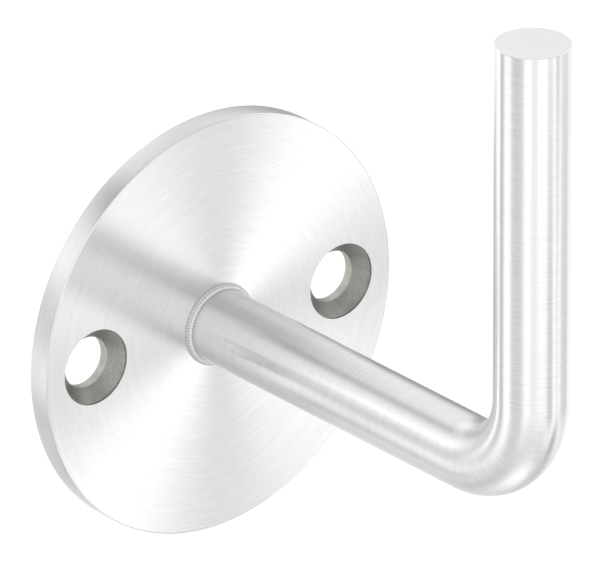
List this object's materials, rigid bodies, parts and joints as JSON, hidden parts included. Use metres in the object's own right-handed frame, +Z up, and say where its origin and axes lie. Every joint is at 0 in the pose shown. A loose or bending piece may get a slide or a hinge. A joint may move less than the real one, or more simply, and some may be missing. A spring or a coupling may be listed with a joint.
{
  "type": "handrail bracket",
  "caption": "Welded steel wall bracket for a handrail: round wall plate with countersunk screw holes and a round bar that runs out level and bends up to carry the rail.",
  "frame": {"origin": "centre of the wall plate's back face, where it meets the wall", "axes": "+Y into the wall, square to the plate's back face; the arm runs along -Y; +Z up along the upright; +X along the row of screw holes"},
  "size_m": [0.07, 0.086, 0.11],
  "materials": {
    "turned_steel": "fine concentric turned brushing on the front, bright rim, matt warm grey in the countersinks",
    "satin_steel": "satin, with fine brush lines round the bar and straight grinding lines on the sawn end",
    "weld_metal": "cleaned weld metal with fine ripples"
  },
  "bodies": {
    "root": {"wall_plate": "turned_steel", "bent_bar": "satin_steel", "weld_bead": "weld_metal"}
  },
  "joints": []
}
